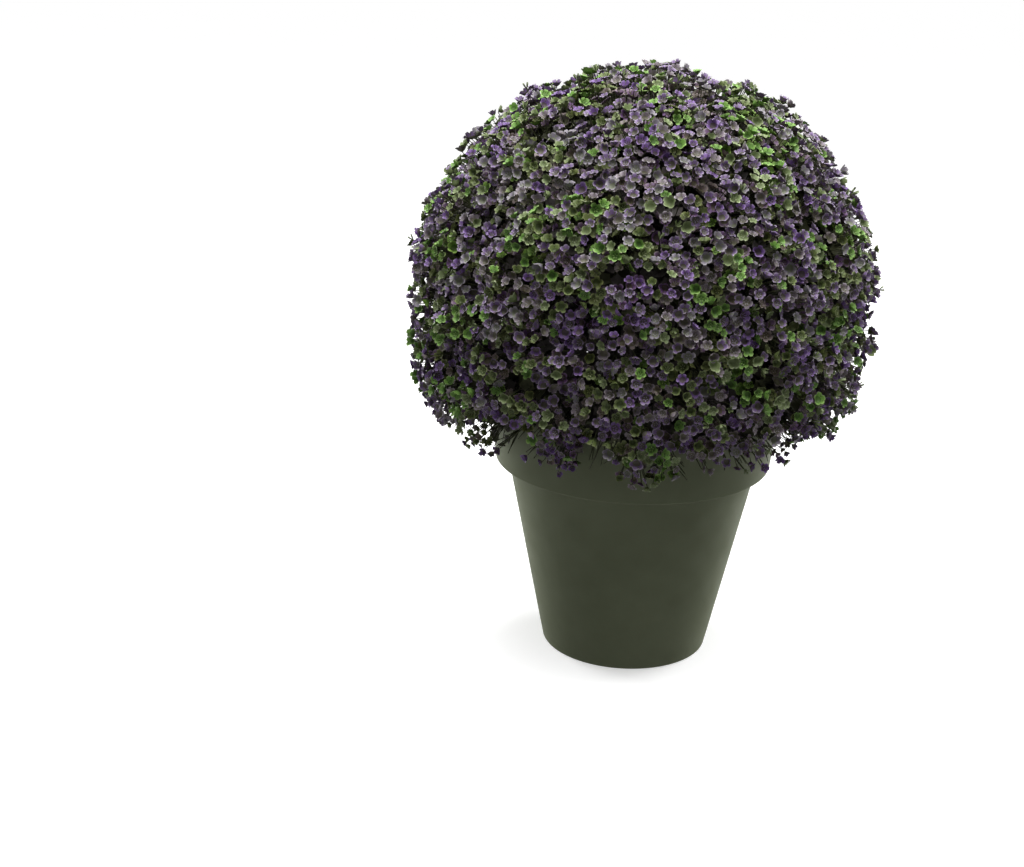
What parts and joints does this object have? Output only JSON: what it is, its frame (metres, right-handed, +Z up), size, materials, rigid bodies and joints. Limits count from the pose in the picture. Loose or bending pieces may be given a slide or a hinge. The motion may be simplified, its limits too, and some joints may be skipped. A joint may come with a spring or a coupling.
{
  "type": "artificial potted verbena ball",
  "caption": "Ball of moulded plastic verbena florets on a short stem, standing in a tapering plastic pot with a stepped collar.",
  "frame": {"origin": "centre of the pot's flat underside", "axes": "+Z up along the pot's axis and the trunk; -Y is the front, towards the viewer"},
  "size_m": [0.5049, 0.5069, 0.6515],
  "materials": {
    "pot_green": "matt dark olive-green plastic",
    "filler_brown": "dull brown filler",
    "stem_green": "matt dark green plastic",
    "floret_violet": "matt violet plastic florets with paler rims",
    "floret_green": "matt yellow-green plastic florets"
  },
  "bodies": {
    "root": {"pot": "pot_green", "filler": "filler_brown", "trunk": "stem_green", "bough_shoulder_1": "stem_green", "bough_shoulder_2": "stem_green", "bough_shoulder_3": "stem_green", "bough_shoulder_4": "stem_green", "bough_shoulder_5": "stem_green", "bough_side_1": "stem_green", "bough_side_2": "stem_green", "bough_side_3": "stem_green", "bough_side_4": "stem_green", "bough_side_5": "stem_green", "bough_side_6": "stem_green", "bough_side_7": "stem_green", "bough_side_8": "stem_green", "bough_skirt_1": "stem_green", "bough_skirt_2": "stem_green", "bough_skirt_3": "stem_green", "bough_skirt_4": "stem_green", "bough_skirt_5": "stem_green", "bough_skirt_6": "stem_green", "bough_skirt_7": "stem_green", "bough_skirt_8": "stem_green", "bough_skirt_9": "stem_green", "foliage_top": "floret_violet", "foliage_shoulder_1": "floret_green", "foliage_shoulder_2": "floret_violet", "foliage_shoulder_3": "floret_violet", "foliage_shoulder_4": "floret_violet", "foliage_shoulder_5": "floret_green", "foliage_side_1": "floret_violet", "foliage_side_2": "floret_violet", "foliage_side_3": "floret_violet", "foliage_side_4": "floret_green", "foliage_side_5": "floret_violet", "foliage_side_6": "floret_violet", "foliage_side_7": "floret_violet", "foliage_side_8": "floret_green", "foliage_skirt_1": "floret_violet", "foliage_skirt_2": "floret_violet", "foliage_skirt_3": "floret_violet", "foliage_skirt_4": "floret_green", "foliage_skirt_5": "floret_violet", "foliage_skirt_6": "floret_violet", "foliage_skirt_7": "floret_violet", "foliage_skirt_8": "floret_green", "foliage_skirt_9": "floret_violet"}
  },
  "joints": []
}
